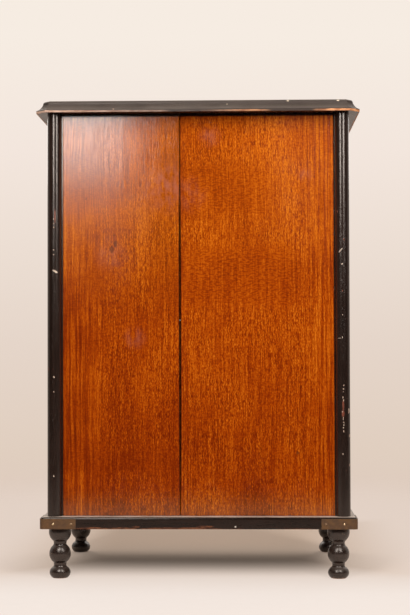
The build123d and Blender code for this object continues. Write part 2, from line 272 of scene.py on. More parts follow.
# Painted bounce light: a warmer brown under the cabinet.
tone = r.mix(r.line(open_paper, -0.45, 0.45), tone, paper_painted_bounce)
sight = r.add("ShaderNodeLightPath", {}).outputs
mirrored = r.highest(sight["Is Glossy Ray"], sight["Is Transmission Ray"])
watched = r.highest(sight["Is Camera Ray"], r.product(mirrored, mirrored_share))
glow_share = r.product(watched, r.line(open_paper, 0.76, 0.09))
rim_fade = r.rise(r.length(place), 0.60, 1.15)
near_fade = r.rise(y, 0.36, 0.95)
mirrored_fade = r.product(mirrored, r.rise(y, 0.55, 0.75))
fade = r.highest(rim_fade, near_fade, mirrored_fade)
sheet = r.add("ShaderNodeBsdfDiffuse", {"Color": tone}).outputs[0]
glow = r.add("ShaderNodeEmission", {"Color": tone, "Strength": 1.0}).outputs[0]
gone = r.add("ShaderNodeBsdfTransparent", {}).outputs[0]
lit = r.add("ShaderNodeMixShader", {0: glow_share, 1: sheet, 2: glow}).outputs[0]
shown = r.add("ShaderNodeMixShader", {0: fade, 1: lit, 2: gone}).outputs[0]
r.add("ShaderNodeOutputMaterial", {"Surface": shown})
paper_mesh.materials.append(paper_finish)
print("paper finish:", len(paper_finish.node_tree.nodes), "nodes")

# %% [markdown]
# Behind the disc the world gives the same cream tone, a little darker near the horizon. The camera sees it
# at full strength. As light it is weaker: a soft fill on the drawers' side, and almost nothing from the dark
# room behind the photographer.

# %% World behind the paper
sweep_light = 0.70
room_light = 0.03

world = bpy.data.worlds.new("paper_sweep")
scene.world = world
world.use_nodes = True
world.node_tree.nodes.clear()
r = Recipe(world.node_tree)
_, along, upward = r.parts(r.add("ShaderNodeTexCoord", {}).outputs["Generated"])
sweep = r.ramp(
    r.line(upward, 2.5, 0.5),
    (0.00, tint(216, 197, 184)),
    (0.21, tint(220, 201, 188)),
    (0.32, tint(224, 206, 191)),
    (0.50, tint(229, 213, 201)),
    (0.66, tint(236, 222, 211)),
    (0.82, tint(243, 230, 221)),
    (1.00, tint(246, 236, 226)),
)
sight = r.add("ShaderNodeLightPath", {}).outputs
drawers_side = r.rise(along, 0.35, -0.45)
share = r.highest(sight["Is Camera Ray"], r.line(drawers_side, sweep_light, room_light))
shown = r.add("ShaderNodeBackground", {"Color": sweep, "Strength": share}).outputs[0]
r.add("ShaderNodeOutputWorld", {"Surface": shown})
print("light from the sweep:", round(sweep_light + room_light, 2), "of its tone, from the room:", room_light)

# %% [markdown]
# Two tall softboxes stand close to the cabinet, above and to either side of the camera's line. Their twin
# streaks on the columns and the feet give away their places: each streak lies halfway between the camera and
# a lamp. A weaker pair stands on the drawers' side and keeps the front readable.

# %% Softboxes
lamp_colour = (1.0, 0.965, 0.93)


def softbox(name, place, target, width, height, radiance):
    """A rectangle lamp facing a target. Its power is radiance times pi times its area."""
    lamp = bpy.data.lights.new(name, "AREA")
    lamp.shape = "RECTANGLE"
    lamp.size = width
    lamp.size_y = height
    lamp.energy = radiance * math.pi * width * height
    lamp.color = lamp_colour
    holder = bpy.data.objects.new(name, lamp)
    facing = (Vector(target) - Vector(place)).to_track_quat("-Z", "Y")
    holder.matrix_world = Matrix.Translation(place) @ facing.to_matrix().to_4x4()
    holder.visible_camera = False
    scene.collection.objects.link(holder)
    return lamp.energy


lamp_powers = [
    softbox("softbox_left", (0.245, 0.86, 0.90), (0.0, 0.10, 0.72), 0.24, 0.84, 12.6),
    softbox("softbox_right", (-0.45, 0.75, 0.89), (0.0, 0.10, 0.70), 0.26, 0.84, 10.5),
    softbox("softbox_front_left", (0.60, -0.95, 0.85), (0.0, 0.0, 0.30), 0.40, 0.70, 2.8),
    softbox("softbox_front_right", (-0.60, -0.95, 0.85), (0.0, 0.0, 0.30), 0.40, 0.70, 2.8),
]
print("lamp powers in watts:", [round(power, 2) for power in lamp_powers])

# %% [markdown]
# Several finishes share the same wear, so each kind of wear is a node group with named sockets, built once
# and placed in each finish with its own values. All of them measure in millimetres on the object itself, so
# a chip or a pore keeps its size and place when a drawer slides out.

# %% A helper for groups
def new_group(name, inputs, outputs):
    """An empty shader group. A socket is given by its kind, or an input also by its usual number."""
    group = bpy.data.node_groups.new(name, "ShaderNodeTree")
    for label, value in inputs.items():
        kind = value if isinstance(value, str) else "Float"
        socket = group.interface.new_socket(name=label, in_out="INPUT", socket_type="NodeSocket" + kind)
        if kind == "Float":
            socket.default_value = value
    for label, kind in outputs.items():
        group.interface.new_socket(name=label, in_out="OUTPUT", socket_type="NodeSocket" + kind)
    given = group.nodes.new("NodeGroupInput").outputs
    result = group.nodes.new("NodeGroupOutput").inputs
    print("group:", name)
    return group, Recipe(group), given, result


# %% [markdown]
# Plain wood grain is chance stretched along the trunk: broad bands for the years, fine lines for the fibres
# and short dark pores. The group runs its grain along the second axis of the place it is given, so each
# piece only has to turn its own length that way.

# %% Wood grain
wood_grain, r, given, result = new_group(
    "wood_grain",
    {"Place": "Vector", "Band Width": 5.0, "Light Wood": "Color", "Dark Wood": "Color"},
    {"Color": "Color", "Height": "Float"},
)
x, y, z = r.parts(given["Place"])
sway = r.product(r.less(r.noise(given["Place"], (0.02, 0.008, 0.02)), 0.5), 9.0)
across = r.math("DIVIDE", r.total(x, sway), given["Band Width"])
depth = r.math("DIVIDE", z, given["Band Width"])
trunk = r.join(across, y, depth)
bands = r.noise(trunk, (1.0, 0.006, 1.0))
fibres = r.noise(trunk, (6.0, 0.03, 1.0), detail=3.0)
pores = r.rise(r.noise(trunk, (9.0, 0.14, 3.0)), 0.60, 0.74)
tone = r.weigh((bands, 0.9), (fibres, 0.55), (pores, -0.35))
r.fill(result["Color"], r.mix(r.rise(tone, 0.38, 1.06), given["Dark Wood"], given["Light Wood"]))
r.fill(result["Height"], r.weigh((fibres, 0.4), (pores, -0.6)))


def cut_wood(recipe, place, light, dark, band_width):
    """Colour and height of plain wood, its grain along the second axis of the place."""
    return recipe.use(wood_grain, Place=place, Band_Width=band_width, Light_Wood=light, Dark_Wood=dark)


# %% [markdown]
# Edges lose their colour first. The edge wear group takes how far a point lies from an edge, and lets chance
# decide how deep the wear bites: broad patches say where hands and shelves rubbed, fine ones fray its rim.

# %% Edge wear
edge_wear, r, given, result = new_group(
    "edge_wear",
    {"Place": "Vector", "Distance": 1.0, "Reach": 1.0, "Amount": 0.5, "Patch Size": 14.0},
    {"Mask": "Float"},
)
patch_inputs = {0: given["Place"], "Scale": r.math("DIVIDE", 1.0, given["Patch Size"])}
patches = r.noise(r.add("ShaderNodeVectorMath", patch_inputs, operation="SCALE").outputs[0])
frays = r.noise(given["Place"], 0.9)
chance = r.total(r.weigh((patches, 1.3), (frays, 0.5)), -0.9)
kept = r.product(r.math("DIVIDE", given["Distance"], given["Reach"]), -1.0)
r.fill(result["Mask"], r.rise(r.total(given["Amount"], chance, kept), 0.0, 0.16))


def worn_edge(recipe, place, distance, reach, amount, patch_size):
    """How far an edge is worn bare, by the distance from it in millimetres."""
    inputs = dict(Distance=distance, Reach=reach, Amount=amount, Patch_Size=patch_size)
    return recipe.use(edge_wear, Place=place, **inputs)["Mask"]


# %% [markdown]
# A single chip is a small spot of bare wood. It is placed where the photograph shows one, and its outline
# is frayed by chance so that it looks knocked out and not drawn.

# %% One chip
one_chip, r, given, result = new_group(
    "one_chip",
    {"Place": "Vector", "Centre": "Vector", "Size": "Vector"},
    {"Mask": "Float"},
)
offset = r.vector("DIVIDE", r.vector("SUBTRACT", given["Place"], given["Centre"]), given["Size"])
ragged = r.noise(given["Place"], 1.1)
r.fill(result["Mask"], r.rise(r.total(r.length(offset), r.product(ragged, 1.1)), 1.72, 1.30))


def chips(recipe, place, marks):
    """The strongest of several chips, each given as (centre, size) in millimetres."""
    spots = [recipe.use(one_chip, Place=place, Centre=centre, Size=size) for centre, size in marks]
    return recipe.highest(*[spot["Mask"] for spot in spots])


# %% [markdown]
# Rubbing with cloths leaves fine hairlines and cloudy patches in any polish. The group gives a cloudiness for
# the roughness and a faint height for the bump, and every polished finish here uses it.

# %% Rubbed polish
rubbed_polish, r, given, result = new_group(
    "rubbed_polish",
    {"Place": "Vector", "Least": 0.3, "Most": 0.5},
    {"Roughness": "Float", "Height": "Float"},
)
x, y, z = r.parts(given["Place"])
clouds = r.noise(given["Place"], 0.03, detail=3.0)
mottle = r.noise(given["Place"], (0.6, 0.6, 0.25), detail=3.0)
hairs = r.noise(r.join(r.weigh((x, 1.9), (z, 0.5)), r.product(y, 1.9), r.product(z, 0.05)))
cloudy = r.rise(r.weigh((clouds, 0.7), (mottle, 0.3)), 0.30, 0.70)
r.fill(result["Roughness"], r.line(cloudy, r.less(given["Most"], given["Least"]), given["Least"]))
r.fill(result["Height"], r.weigh((mottle, 0.6), (hairs, 0.4)))

# %% [markdown]
# Dust settles on faces that look up and stays in corners. The group takes how far a face looks upwards and
# gives a patchy cover.

# %% Settled dust
settled_dust, r, given, result = new_group(
    "settled_dust",
    {"Place": "Vector", "Facing Up": 0.0, "Steepest": 0.35, "Amount": 0.3},
    {"Mask": "Float"},
)
grains = r.noise(given["Place"], 0.5, detail=4.0, roughness=0.7)
drifts = r.noise(given["Place"], 0.05)
level = r.rise(given["Facing Up"], given["Steepest"], 0.99)
cover = r.product(level, r.weigh((grains, 0.7), (drifts, 0.8)))
r.fill(result["Mask"], r.product(cover, given["Amount"]))

# %% [markdown]
# Each finish starts with one Principled shader and the object's own coordinates in millimetres. It ends with
# a colour, a roughness and a height that bends the normals as a bump. Helpers make both, and put the finish
# on its pieces.

# %% The start and the end of a finish
def new_finish(name, **constants):
    """A material with its shader, a recipe for its tree and the place on the object in millimetres."""
    finish = bpy.data.materials.new(name)
    finish.use_nodes = True
    finish.node_tree.nodes.clear()
    recipe = Recipe(finish.node_tree)
    shader = recipe.add("ShaderNodeBsdfPrincipled", {})
    for label, value in constants.items():
        shader.inputs[label.replace("_", " ")].default_value = value
    recipe.add("ShaderNodeOutputMaterial", {"Surface": shader.outputs[0]})
    metres = recipe.add("ShaderNodeTexCoord", {}).outputs["Object"]
    place = recipe.vector("MULTIPLY", metres, (1000.0, 1000.0, 1000.0))
    return finish, recipe, shader.inputs, place


def lay_on(recipe, shader, colour, roughness, height, depth=1.0):
    """Links colour, roughness and bump to the shader. A height of 1 stands for depth in millimetres."""
    bump_inputs = {"Height": height, "Distance": depth / 1000, "Strength": 1.0}
    recipe.fill(shader["Base Color"], colour)
    recipe.fill(shader["Roughness"], roughness)
    recipe.fill(shader["Normal"], recipe.add("ShaderNodeBump", bump_inputs).outputs[0])


def dress(finish, *names):
    """Puts a finish on CAD nodes, in the material slot that they already have."""
    for name in names:
        nodes[name].material_slots[0].material = finish
    print(finish.name, "on", len(names), "pieces")


# %% [markdown]
# The two boards at the back are oak, varnished to a deep orange. Oak shows thousands of short dark dashes,
# gathered into a faint figure, and near the edges of a board the years run as straight lines. In places the
# dashes turn into fine ripples across the board, where the fibres grew in waves. An image of wood would tie
# the finish to one board, so the figure is built from chance stretched along the trunk, in layers from the
# years down to the pores. The second number of each stretch only picks another layer of chance.

# %% Oak figure
oak_figure, r, given, result = new_group(
    "oak_figure",
    {"Place": "Vector", "Straight": 0.0, "Flecked": 1.0, "Rippled": 0.0, "Darker": 0.0},
    {"Color": "Color", "Height": "Float", "Pores": "Float"},
)
x, _, z = r.parts(given["Place"])
sway = r.less(r.noise(given["Place"], (0.012, 0.0, 0.006), detail=1.0), 0.5)
curl = r.less(r.noise(given["Place"], (0.07, 0.0, 0.05)), 0.5)
bend = r.product(r.less(1.1, given["Straight"]), curl)
trunk = r.join(r.total(x, r.product(sway, 9.0), r.product(bend, 2.8)), 1.0, z)
years = r.noise(trunk, (0.24, 0.0, 0.004), detail=1.0)
fibres = r.noise(trunk, (0.50, 0.0, 0.012), detail=3.0, roughness=0.6)
streaks = r.noise(trunk, (0.82, 9.0, 0.04))
dashes = r.noise(trunk, (0.95, 3.0, 0.15), detail=1.0)
specks = r.noise(trunk, (1.25, 7.0, 0.42), detail=1.0)
waves = r.join(x, 1.0, r.total(z, r.product(curl, 8.0)))
ripples = r.noise(waves, (0.25, 13.0, 0.64), detail=1.0)
slant = r.join(r.weigh((x, 0.055), (z, 0.030)), 5.0, r.weigh((z, 0.075), (x, -0.02)))
figure = r.noise(slant, detail=3.0, roughness=0.6)
clouds = r.noise(given["Place"], (0.016, 0.0, 0.011))

upright = r.line(given["Rippled"], -0.80, 1.0)
flecked = r.product(given["Flecked"], upright)
gathered = r.total(dashes, r.product(r.less(figure, 0.5), 0.24))
dash_marks = r.product(r.rise(gathered, 0.47, 0.60), flecked)
speck_marks = r.product(r.rise(specks, 0.50, 0.62), flecked)
pale_flecks = r.product(r.rise(specks, 0.47, 0.36), flecked)
streak_marks = r.product(r.rise(streaks, 0.47, 0.60), upright)
ripple_marks = r.product(r.rise(ripples, 0.42, 0.62), given["Rippled"])
year_lines = r.product(r.rise(r.far(years, 0.5), 0.090, 0.015), given["Straight"])
pores = r.highest(dash_marks, year_lines, r.product(streak_marks, 0.7))

tone = r.weigh(
    (fibres, 0.90),
    (clouds, 0.46),
    (figure, 0.16),
    (streak_marks, -0.18),
    (dash_marks, -0.29),
    (speck_marks, -0.21),
    (pale_flecks, 0.20),
    (ripple_marks, -0.24),
    (given["Rippled"], -0.09),
    (year_lines, -0.26),
    (given["Darker"], -1.0),
)
wood = r.ramp(
    r.less(tone, 0.03),
    (0.00, tint(110, 34, 2)),
    (0.22, tint(129, 42, 3)),
    (0.42, tint(151, 57, 3)),
    (0.64, tint(179, 80, 7)),
    (0.86, tint(205, 109, 20)),
)
r.fill(result["Color"], wood)
r.fill(result["Height"], r.weigh((fibres, 0.5), (pores, -0.5)))
r.fill(result["Pores"], pores)
print("oak figure:", len(oak_figure.nodes), "nodes")

# %% [markdown]
# Growth makes a board straighter in places, and its tone is darker or lighter in others, and such a place has
# no sharp edge. Towards the foot both boards are darker in painted shade. So each board gets lists of
# soft-edged zones: limits across, limits upwards and an amount. Two limits rise from the first to the second.
# Three are a band: its middle, how far it reaches and how far it is full.

# %% Soft-edged zones
def within(recipe, value, limits):
    """1 inside the limits of a zone and 0 outside, with an even curve between."""
    if len(limits) == 3:
        middle, reach, full = limits
        return recipe.rise(recipe.far(value, middle), reach, full)
    return recipe.rise(value, *limits)


def zones(recipe, x, z, rows):
    """The mask of each zone times its amount. None as limits stands for everywhere."""
    masks = []
    for across, upwards, amount in rows:
        sides = [within(recipe, value, limits) for value, limits in ((x, across), (z, upwards)) if limits]
        masks.append(recipe.product(*sides, amount))
    return masks


everywhere = None
board_foot = (94.0, 66.0)
# Painted shade: both boards are darker towards the foot, a little less so at the very foot.
foot_shade = [(everywhere, (290.0, 150.0), 0.125), (everywhere, board_foot, -0.04)]
print("zones at the foot of both boards:", len(foot_shade))

# %% [markdown]
# The varnish has yellowed towards the top and at the foot. In a few places it has bloomed, which is a milky
# haze from damp, and two pale spots of the same colour near the joint are painted sheen. A painted shadow
# darkens the wood just below the top's edge, and the wood beside the open joint between the boards is
# darkened too. Both boards have warped a little, so that each leans towards the lamps in its own way. A long
# slope added to the bump leans the normals without moving the board.

# %% Oak finish
_, wide_high = in_mm(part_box("back_board_wide"))
narrow_low, _ = in_mm(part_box("back_board_narrow"))
board_top = wide_high[2]
board_joint = (wide_high[0] + narrow_low[0]) / 2
added_yellow = tint(0, 40, 4)
bloom_and_sheen_colour = tint(164, 94, 72)
knot_colour = tint(52, 28, 20)
painted_shadow_colour = tint(20, 12, 8)
joint_colour = tint(24, 10, 6)


def oak_colour(r, place, wood, yellowed, blooms_and_sheen, marks):
    """The colour of the wood, then what lies over it: yellow, bloom and painted sheen, knots, painted shadow
    below the top and the darkened joint, in that order.
    """
    x, _, z = r.parts(place)
    yellow = r.highest(r.product(r.rise(z, 230.0, 420.0), yellowed), r.product(r.rise(z, *board_foot), 0.8))
    colour = r.mix(yellow, wood, added_yellow, blend="ADD")
    milky = r.rise(r.noise(place, (0.16, 0.16, 0.10), detail=3.0), 0.30, 0.70)
    # Bloom spots, and painted sheen at the spots near the joint.
    for spot_x, spot_z, radius, strength in blooms_and_sheen:
        away = r.length(r.join(r.less(x, spot_x), r.less(z, spot_z), 0.0))
        colour = r.mix(r.product(r.rise(away, radius, 0.0), milky, strength), colour, bloom_and_sheen_colour)
    colour = r.mix(r.product(chips(r, place, marks), 0.55), colour, knot_colour)
    # Painted shadow: the wood just below the top's edge is darkened nearly to black.
    ragged_height = r.total(z, r.noise(place, 0.2))
    painted_shadow = r.product(r.rise(ragged_height, board_top - 2.3, board_top - 1.0), 0.95)
    colour = r.mix(painted_shadow, colour, painted_shadow_colour)
    beside_joint = r.rise(r.far(x, board_joint), 2.0, 0.5)
    blackened = r.product(r.rise(z, 80.0, 120.0), r.rise(z, 400.0, 330.0))
    return r.mix(r.product(beside_joint, r.line(blackened, 0.60, 0.15)), colour, joint_colour)


def oak_board(name, shift, shine, lean, yellowed, blooms_and_sheen, marks, straight, straight_above, flecked, rippled,
              darker, hazy):
    """A board's finish. lean is a function of x and z, and straight to hazy are lists of zones."""
    finish, r, shader, place = new_finish(name, Specular_IOR_Level=shine)
    x, _, z = r.parts(place)
    kept_straight = r.line(r.rise(z, 360.0, 220.0), 1.0 - straight_above, straight_above)
    patches = r.rise(r.noise(place, (0.022, 0.0, 0.022)), 0.46, 0.62)
    figure = r.use(
        oak_figure,
        Place=r.vector("ADD", place, shift),
        Straight=r.product(r.highest(*zones(r, x, z, straight)), kept_straight),
        Flecked=r.total(1.0, *zones(r, x, z, flecked)),
        Rippled=r.highest(r.product(patches, 0.5), *zones(r, x, z, rippled)),
        Darker=r.total(*zones(r, x, z, foot_shade + darker)),
    )
    polish = r.use(rubbed_polish, Place=place, Least=0.08, Most=0.11)
    haze = r.total(*zones(r, x, z, hazy))
    glossier = r.product(r.rise(z, 220.0, 100.0), -0.03)
    open_pores = r.product(figure["Pores"], r.line(haze, 0.9, 0.02))
    lay_on(
        r,
        shader,
        oak_colour(r, place, figure["Color"], yellowed, blooms_and_sheen, marks),
        r.total(polish["Roughness"], haze, glossier, open_pores),
        r.total(r.weigh((figure["Height"], 0.04), (polish["Height"], 0.02)), lean(r, x, z)),
    )
    return finish


print("joint between the boards at x =", round(board_joint, 2), "mm")

# %% [markdown]
# The narrow board has straight years along its outer edge, a redder band down its middle and a small knot.
# Its outer half leans towards one lamp, so its upper corner shines. The haze spreads that shine.

# %% Narrow board
def narrow_lean(r, x, z):
    """A slope on the outer half of the board, and a slight one upwards."""
    return r.weigh((r.highest(r.less(x, 76.0), 0.0), -0.014), (z, 0.010))


narrow_oak = oak_board(
    "narrow_oak_board",
    shift=(310.0, 0.0, 120.0),
    shine=0.56,
    lean=narrow_lean,
    yellowed=0.9,
    # The third spot, broad and near the joint, is painted sheen. The other two are bloom.
    blooms_and_sheen=[(64.0, 241.0, 15.0, 0.5), (90.0, 326.0, 22.0, 0.5), (31.0, 394.0, 36.0, 0.85)],
    marks=[
        ((87.2, 100.0, 330.5), (2.4, 3.0, 3.6)),
        ((83.6, 100.0, 336.5), (2.2, 3.0, 3.6)),
        ((113.3, 100.0, 382.0), (1.0, 3.0, 1.3)),
    ],
    straight=[((92.0, 118.0), everywhere, 1.0), ((40.0, 20.0), everywhere, 0.3)],
    straight_above=0.25,
    flecked=[((85.0, 112.0), everywhere, -0.5), (everywhere, (330.0, 430.0), -0.45)],
    rippled=[((60.0, 30.0), (300.0, 50.0, 20.0), 0.6)],
    darker=[
        ((78.0, 24.0, 6.0), (330.0, 150.0), 0.08),
        (everywhere, (420.0, 240.0), 0.07),
        (everywhere, (330.0, 420.0), 0.09),
        ((60.0, 30.0), (335.0, 85.0, 35.0), 0.10),
        ((60.0, 110.0), (340.0, 440.0), 0.08),
        ((62.0, 54.0), (395.0, 430.0), 0.07),
        ((100.0, 114.0), (300.0, 120.0), -0.07),
        ((100.0, 118.0), (330.0, 60.0, 20.0), -0.09),
    ],
    hazy=[((30.0, 85.0), (200.0, 380.0), 0.07)],
)
dress(narrow_oak, "back_board_narrow")

# %% [markdown]
# The wide board lies flatter, hollowed only slightly from side to side. It shows more flecks, and two broad
# zones of ripples.

# %% Wide board
def wide_lean(r, x, z):
    """A shallow hollow across the board, by the square of x, and a slight slope upwards."""
    return r.weigh((r.math("POWER", r.total(x, 60.0), 2.0), 0.00034), (z, 0.008))


wide_oak = oak_board(
    "wide_oak_board",
    shift=(0.0, 0.0, 0.0),
    shine=0.5,
    lean=wide_lean,
    yellowed=0.3,
    # The third spot, near the joint, is painted sheen. The other two are bloom.
    blooms_and_sheen=[(-12.0, 445.0, 15.0, 0.5), (-109.0, 406.0, 10.0, 0.5), (9.0, 386.0, 24.0, 0.36)],
    marks=[((-99.4, 100.0, 125.4), (1.5, 3.0, 1.9)), ((-62.0, 100.0, 176.0), (0.6, 3.0, 0.8))],
    straight=[((-92.0, -125.0), everywhere, 1.0), ((4.0, 16.0), everywhere, 0.5)],
    straight_above=1.0,
    flecked=[((-96.0, -130.0), everywhere, -0.45)],
    rippled=[
        ((-42.0, 74.0, 46.0), (303.0, 40.0, 20.0), 1.0),
        ((-28.0, 64.0, 34.0), (389.0, 34.0, 16.0), 0.85),
    ],
    darker=[
        ((-56.0, 26.0, 4.0), (190.0, 90.0), 0.18),
        (everywhere, (303.0, 42.0, 8.0), 0.10),
        ((-70.0, -10.0), (370.0, 425.0), 0.11),
        ((-40.0, -115.0), (350.0, 430.0), -0.07),
        ((-104.0, -118.0), (390.0, 340.0), -0.07),
    ],
    hazy=[((-20.0, -110.0), (240.0, 400.0), 0.08)],
)
dress(wide_oak, "back_board_wide")

# %% [markdown]
# Ebonised wood is a plain wood stained black and polished, to look like ebony. Where it is rubbed through,
# the wood below shows: pale on old dry wear, orange where the polish soaked in. Old polish is slightly brown,
# so its shine is tinted. One function builds the finish, and each kind of piece adds its own wear, which says
# both where the wood is bare and what colour it has there.

# %% Ebonised finish
black_stain = tint(19, 12, 9)
black_stain_worn = tint(35, 23, 18)
thin_stain = tint(78, 54, 45)
dust_colour = tint(204, 188, 174)
warm_polish = (1.0, 0.91, 0.84, 1.0)


def ebonised(name, wear, grain, shine, brown, least, most, dust_amount, dust_steepest):
    """Black polish over wood, its roughness from least to most. grain puts the axis of the grain second."""
    finish, r, shader, place = new_finish(name, Specular_IOR_Level=shine, Specular_Tint=warm_polish)
    facing_up = r.parts(r.add("ShaderNodeNewGeometry", {}).outputs["Normal"])[2]
    wood = cut_wood(r, r.turn(place, grain), black_stain_worn, black_stain, band_width=4.0)
    thin = r.product(r.noise(place, (0.07, 0.07, 0.03), detail=3.0), 2.0 * brown)
    bare, bare_wood = wear(r, place)
    colour = r.mix(bare, r.mix(thin, wood["Color"], thin_stain), bare_wood)
    dust_inputs = dict(Facing_Up=facing_up, Steepest=dust_steepest, Amount=dust_amount)
    dust = r.use(settled_dust, Place=place, **dust_inputs)["Mask"]
    polish = r.use(rubbed_polish, Place=place, Least=least, Most=most)
    sheltered = r.rise(facing_up, -0.3, -0.9)
    rubbed = r.product(polish["Roughness"], r.line(sheltered, -0.5, 1.0))
    lay_on(
        r,
        shader,
        r.mix(dust, colour, dust_colour),
        r.total(rubbed, r.product(bare, 0.25), r.product(dust, 0.35)),
        r.weigh((wood["Height"], 0.05), (polish["Height"], 0.03), (bare, -0.08)),
    )
    return finish


print("black in linear light:", [round(value, 4) for value in black_stain[:3]])

# %% [markdown]
# The top is moulded all round and its corners are cut off. The thin lip below the moulding has lost its
# black along most of the back: pale at one end, orange at the other, and patchy between. A ramp says how much
# is gone from one end to the other, and a few chips sit on the upper edge.

# %% Top board
top_low, top_high = in_mm(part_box("top_board"))
lip_half_width, lip_half_depth, _ = top_high
lip_height = 1.3
lip_top = top_low[2] + lip_height
cant_length = 10.0
lip_wear_along_back = [
    (0.00, 0.85), (0.04, 0.95), (0.08, 1.00), (0.11, 0.62), (0.135, 0.45), (0.15, 0.00), (0.265, 0.00),
    (0.29, 0.40), (0.32, 0.62), (0.36, 0.55), (0.42, 0.36), (0.47, 0.14), (0.58, 0.10), (0.61, 0.42),
    (0.68, 0.40), (0.78, 0.58), (0.92, 0.85), (1.00, 0.90),
]
top_chips = [
    ((-29.9, 114.0, 475.5), (0.9, 3.0, 0.8)),
    ((-90.7, 111.0, 478.6), (1.2, 3.0, 0.9)),
    ((-141.0, 111.0, 478.6), (1.6, 3.0, 0.9)),
    ((84.0, 117.8, 470.6), (0.9, 3.0, 0.8)),
]


def top_edge_distance(r, x, y):
    """How far a point lies inside the outline of the top: the least of its distances to sides and corners."""
    wide = r.far(x)
    deep = r.far(y)
    corner = lip_half_width + lip_half_depth - cant_length
    from_corner = r.product(r.less(corner, r.total(wide, deep)), math.sqrt(0.5))
    return r.lowest(r.less(lip_half_width, wide), r.less(lip_half_depth, deep), from_corner)


def lip_wood(r, place, x, z):
    """Orange where the polish soaked in at one end, pale and dry at the other and in chips above the lip."""
    mottled = r.rise(r.noise(place, (0.12, 0.12, 0.4), detail=3.0), 0.35, 0.65)
    pale = r.mix(mottled, tint(164, 126, 106), tint(206, 172, 152))
    warm = r.mix(mottled, tint(170, 104, 62), tint(222, 156, 106))
    lip = r.mix(r.rise(x, -60.0, 40.0), warm, pale)
    return r.mix(r.rise(z, lip_top + 3.0, lip_top + 4.0), lip, tint(226, 206, 178))


def top_wear(r, place):
    """Wear on the lip, strong towards both ends of the back, and a few chips on the upper edge."""
    x, y, z = r.parts(place)
    above = r.highest(r.less(z, lip_top), 0.0)
    inside = r.highest(top_edge_distance(r, x, y), 0.0)
    distance = r.total(above, r.product(inside, 0.55))
    greys = [(level, (share, share, share, 1.0)) for level, share in lip_wear_along_back]
    along_back = r.ramp(r.line(x, 1 / (2 * lip_half_width), 0.5), *greys)
    amount = r.total(along_back, 0.05)
    frayed = worn_edge(r, place, distance, reach=0.8, amount=amount, patch_size=16.0)
    lip = r.product(frayed, r.rise(along_back, -0.10, 1.10))
    bare = r.highest(lip, r.product(chips(r, place, top_chips), 0.8))
    return bare, lip_wood(r, place, x, z)


ebonised_top = ebonised(
    "ebonised_top", top_wear, "YXZ", shine=0.5, brown=0.12, least=0.40, most=0.52,
    dust_amount=0.18, dust_steepest=0.10,
)
dress(ebonised_top, "top_board")

# %% [markdown]
# The columns are turned and glued into the corners. They catch every knock, so small chips down to the wood
# dot their crowns, and in a few places the black is only rubbed thin and shows a red-brown. The ones in the
# photograph are listed one by one for the back pair. A mark is written as x, z, half its width and half its
# height. It lies on the crown of the column, unless its y and its depth are given as well.

# %% Marks on the columns
crown = 107.0
mark_depth = 1.5
deep_mark = 1.8


def column_mark(x, z, half_width, half_height, y=crown, depth=mark_depth):
    """The centre and the size of one mark."""
    return (x, y, z), (half_width, depth, half_height)


column_chips = [column_mark(*row) for row in [
    (145.3, 309.4, 0.8, 1.0), (144.2, 308.8, 1.0, 1.1), (142.9, 308.0, 1.0, 1.1),
    (141.9, 307.4, 0.7, 0.8, crown, deep_mark), (145.2, 330.1, 0.6, 0.6), (145.2, 325.4, 0.6, 0.6),
    (145.3, 361.3, 0.5, 0.6), (145.2, 356.8, 0.5, 0.6), (145.1, 352.8, 0.6, 0.7),
    (144.9, 202.2, 0.8, 1.1), (145.0, 187.5, 0.5, 0.6), (145.0, 103.0, 0.5, 0.8),
    (-144.1, 330.0, 0.45, 0.7), (-143.3, 329.0, 0.45, 0.7), (-142.5, 327.9, 0.45, 0.7),
    (-141.7, 326.8, 0.45, 0.6, 106.5), (-144.4, 314.7, 0.7, 0.7), (-144.6, 264.0, 0.4, 0.6),
    (-140.2, 240.2, 0.7, 0.25, 105.8), (-142.2, 240.6, 0.8, 0.25, 106.8), (-144.4, 241.4, 0.4, 0.9),
    (-145.4, 193.4, 0.7, 0.8), (-145.3, 189.8, 0.7, 0.7), (-145.1, 187.0, 0.4, 0.6),
    (-144.8, 181.5, 0.5, 1.3), (-145.3, 178.4, 0.5, 1.2), (-144.1, 167.0, 0.5, 0.7),
    (-144.9, 160.6, 0.4, 1.5), (-145.3, 156.4, 0.5, 1.0), (-145.4, 153.8, 0.5, 0.8),
    (-145.0, 151.0, 0.4, 0.9), (-145.3, 147.6, 0.5, 1.0), (-144.5, 124.9, 0.55, 0.7),
    (-150.7, 167.7, 0.8, 2.6, 104.8, deep_mark), (-151.4, 143.0, 0.7, 1.6, 104.0, deep_mark),
    (-151.4, 113.9, 0.7, 1.6, 104.0, deep_mark),
]]
column_rubs = [column_mark(*row) for row in [
    (143.9, 364.0, 0.7, 7.0), (-144.9, 173.4, 0.9, 5.2),
    (-144.7, 165.2, 1.4, 3.4, crown, deep_mark), (-144.6, 288.0, 0.5, 1.0),
]]
print("chips:", len(column_chips), "rubs:", len(column_rubs))

# %% [markdown]
# Chance puts a few more knocks on each column. The finish is the glossiest of the black ones, which gives the
# columns their long streaks of light.

# %% Columns
corners = [side + "_" + hand for side in ("front", "back") for hand in ("left", "right")]


def column_wear(r, place):
    """Chance knocks, rubs and chips. The wood is red-brown, and pale and dry where a chip went deeper."""
    chipped = chips(r, place, column_chips)
    rubbed = r.product(chips(r, place, column_rubs), 0.8)
    knocks = r.rise(r.noise(place, (0.5, 0.5, 0.14)), 0.745, 0.775)
    dry = r.ramp(
        r.noise(place, 0.3),
        (0.35, tint(144, 116, 96)),
        (0.50, tint(192, 170, 150)),
        (0.65, tint(232, 216, 194)),
    )
    return r.highest(knocks, rubbed, chipped), r.mix(chipped, tint(124, 56, 32), dry)


